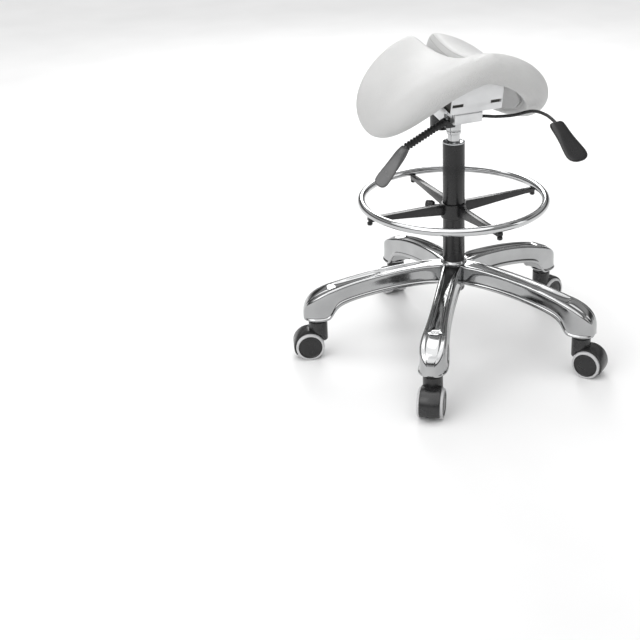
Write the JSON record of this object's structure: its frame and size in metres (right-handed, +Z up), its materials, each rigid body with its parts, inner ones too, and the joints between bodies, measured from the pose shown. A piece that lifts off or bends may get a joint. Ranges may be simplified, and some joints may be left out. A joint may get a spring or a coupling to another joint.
{
  "type": "dental saddle stool",
  "caption": "Saddle stool with a cleft seat, tilting mechanism with two levers, gas column, foot ring and a five-arm base on twin-wheel castors.",
  "frame": {"origin": "on the floor under the axis of the column", "axes": "+Z up; the sitter faces -Y, so the open cleft of the seat is at +Y and the sitter's right hand is at -X"},
  "size_m": [0.7284, 0.6927, 0.734],
  "materials": {
    "polished_aluminium": "mirror-polished die casting",
    "chrome_plate": "bright chrome",
    "black_steel": "satin black powder coat",
    "black_plastic": "moulded, fine texture",
    "black_rubber": "matt bellows rubber",
    "wheel_tread": "light grey soft tread over a black disc",
    "zinc_plate": "zinc plated sheet",
    "bright_steel": "bright turned steel",
    "seat_leather": "white grained upholstery leather",
    "underside_cover": "light grey leatherette",
    "riser_board": "raw plywood"
  },
  "bodies": {
    "base": {"base_star": "polished_aluminium", "column_tube": "black_steel", "guide_bush": "black_plastic", "thrust_bearing": "bright_steel"},
    "foot_ring": {"foot_ring_tube": "chrome_plate", "ring_spider": "black_plastic", "ring_screw_1": "black_plastic", "ring_screw_2": "black_plastic", "ring_screw_3": "black_plastic", "ring_screw_4": "black_plastic"},
    "ring_knob": {"ring_clamp_knob": "black_plastic"},
    "rod": {"piston_rod": "chrome_plate", "rod_clip": "bright_steel"},
    "lift": {"gas_cylinder": "chrome_plate", "taper_socket": "chrome_plate", "mechanism_body": "zinc_plate", "tilt_pin": "bright_steel", "tension_spring": "bright_steel", "tension_bolt": "bright_steel"},
    "valve": {"release_pin": "bright_steel"},
    "height_lever": {"height_lever_hub": "black_plastic", "height_lever_rod": "bright_steel", "height_lever_boot": "black_rubber", "height_lever_paddle": "black_plastic"},
    "tilt_lever": {"tilt_lever_rod": "black_steel", "tilt_lever_paddle": "black_plastic"},
    "tension_knob": {"tension_knob": "black_plastic"},
    "seat": {"seat_frame": "zinc_plate", "seat_riser": "riser_board", "seat_shell": "underside_cover", "seat_cushion": "seat_leather", "seat_bolt_1": "bright_steel", "seat_bolt_2": "bright_steel", "seat_bolt_3": "bright_steel", "seat_bolt_4": "bright_steel"},
    "caster_1": {"caster_1_stem": "bright_steel", "caster_1_hood": "black_plastic", "caster_1_axle": "bright_steel"},
    "caster_1_wheel_left_body": {"caster_1_wheel_left": "wheel_tread"},
    "caster_1_wheel_right_body": {"caster_1_wheel_right": "wheel_tread"},
    "caster_2": {"caster_2_stem": "bright_steel", "caster_2_hood": "black_plastic", "caster_2_axle": "bright_steel"},
    "caster_2_wheel_left_body": {"caster_2_wheel_left": "wheel_tread"},
    "caster_2_wheel_right_body": {"caster_2_wheel_right": "wheel_tread"},
    "caster_3": {"caster_3_stem": "bright_steel", "caster_3_hood": "black_plastic", "caster_3_axle": "bright_steel"},
    "caster_3_wheel_left_body": {"caster_3_wheel_left": "wheel_tread"},
    "caster_3_wheel_right_body": {"caster_3_wheel_right": "wheel_tread"},
    "caster_4": {"caster_4_stem": "bright_steel", "caster_4_hood": "black_plastic", "caster_4_axle": "bright_steel"},
    "caster_4_wheel_left_body": {"caster_4_wheel_left": "wheel_tread"},
    "caster_4_wheel_right_body": {"caster_4_wheel_right": "wheel_tread"},
    "caster_5": {"caster_5_stem": "bright_steel", "caster_5_hood": "black_plastic", "caster_5_axle": "bright_steel"},
    "caster_5_wheel_left_body": {"caster_5_wheel_left": "wheel_tread"},
    "caster_5_wheel_right_body": {"caster_5_wheel_right": "wheel_tread"}
  },
  "joints": [
    {"name": "caster_1_swivel", "type": "hinge", "parent": "base", "child": "caster_1", "pos_m": [0, 0.318, 0.098], "axis": [0, 0, 1], "continuous": true},
    {"name": "caster_1_roll_left", "type": "hinge", "parent": "caster_1", "child": "caster_1_wheel_left_body", "pos_m": [0, 0.339, 0.0325], "axis": [-1, 0, 0], "continuous": true},
    {"name": "caster_1_roll_right", "type": "hinge", "parent": "caster_1", "child": "caster_1_wheel_right_body", "pos_m": [0, 0.339, 0.0325], "axis": [-1, 0, 0], "continuous": true},
    {"name": "caster_2_swivel", "type": "hinge", "parent": "base", "child": "caster_2", "pos_m": [-0.30244, 0.09827, 0.098], "axis": [0, 0, 1], "continuous": true},
    {"name": "caster_2_roll_left", "type": "hinge", "parent": "caster_2", "child": "caster_2_wheel_left_body", "pos_m": [-0.32241, 0.10476, 0.0325], "axis": [-0.309, -0.9511, 0], "continuous": true},
    {"name": "caster_2_roll_right", "type": "hinge", "parent": "caster_2", "child": "caster_2_wheel_right_body", "pos_m": [-0.32241, 0.10476, 0.0325], "axis": [-0.309, -0.9511, 0], "continuous": true},
    {"name": "caster_3_swivel", "type": "hinge", "parent": "base", "child": "caster_3", "pos_m": [-0.18692, -0.25727, 0.098], "axis": [0, 0, 1], "continuous": true},
    {"name": "caster_3_roll_left", "type": "hinge", "parent": "caster_3", "child": "caster_3_wheel_left_body", "pos_m": [-0.19926, -0.27426, 0.0325], "axis": [0.809, -0.5878, 0], "continuous": true},
    {"name": "caster_3_roll_right", "type": "hinge", "parent": "caster_3", "child": "caster_3_wheel_right_body", "pos_m": [-0.19926, -0.27426, 0.0325], "axis": [0.809, -0.5878, 0], "continuous": true},
    {"name": "caster_4_swivel", "type": "hinge", "parent": "base", "child": "caster_4", "pos_m": [0.18692, -0.25727, 0.098], "axis": [0, 0, 1], "continuous": true},
    {"name": "caster_4_roll_left", "type": "hinge", "parent": "caster_4", "child": "caster_4_wheel_left_body", "pos_m": [0.19926, -0.27426, 0.0325], "axis": [0.809, 0.5878, 0], "continuous": true},
    {"name": "caster_4_roll_right", "type": "hinge", "parent": "caster_4", "child": "caster_4_wheel_right_body", "pos_m": [0.19926, -0.27426, 0.0325], "axis": [0.809, 0.5878, 0], "continuous": true},
    {"name": "caster_5_swivel", "type": "hinge", "parent": "base", "child": "caster_5", "pos_m": [0.30244, 0.09827, 0.098], "axis": [0, 0, 1], "continuous": true},
    {"name": "caster_5_roll_left", "type": "hinge", "parent": "caster_5", "child": "caster_5_wheel_left_body", "pos_m": [0.32241, 0.10476, 0.0325], "axis": [-0.309, 0.9511, 0], "continuous": true},
    {"name": "caster_5_roll_right", "type": "hinge", "parent": "caster_5", "child": "caster_5_wheel_right_body", "pos_m": [0.32241, 0.10476, 0.0325], "axis": [-0.309, 0.9511, 0], "continuous": true},
    {"name": "ring_height", "type": "slide", "parent": "base", "child": "foot_ring", "axis": [0, 0, 1], "range_m": [-0.095, 0.055]},
    {"name": "ring_clamp", "type": "hinge", "parent": "foot_ring", "child": "ring_knob", "pos_m": [0, 0, 0.34525], "axis": [-0.6691, 0.7431, 0], "range_deg": [-360, 0]},
    {"name": "seat_swivel", "type": "hinge", "parent": "base", "child": "rod", "pos_m": [0, 0, 0.15], "axis": [0, 0, 1], "continuous": true},
    {"name": "seat_lift", "type": "slide", "parent": "rod", "child": "lift", "axis": [0, 0, 1], "range_m": [0, 0.19]},
    {"name": "height_lever_lift", "type": "hinge", "parent": "lift", "child": "height_lever", "pos_m": [-0.03, -0.033, 0.558], "axis": [0, 1, 0], "range_deg": [0, 8]},
    {"name": "valve_press", "type": "slide", "parent": "lift", "child": "valve", "axis": [0, 0, 1], "range_m": [-0.005, 0]},
    {"name": "tilt_lever_lift", "type": "hinge", "parent": "lift", "child": "tilt_lever", "pos_m": [0.03, -0.058, 0.57], "axis": [-1, 0, 0], "range_deg": [0, 8]},
    {"name": "tension_turn", "type": "hinge", "parent": "lift", "child": "tension_knob", "pos_m": [0, 0.05497, 0.57669], "axis": [0, -0.1908, 0.9816], "range_deg": [-360, 360]},
    {"name": "seat_tilt", "type": "hinge", "parent": "lift", "child": "seat", "pos_m": [0, -0.04695, 0.58743], "axis": [1, 0, 0], "range_deg": [-8, 3]}
  ],
  "couplings": [
    {"joint": "valve_press", "follows": "height_lever_lift", "m_per_rad": -0.03}
  ]
}
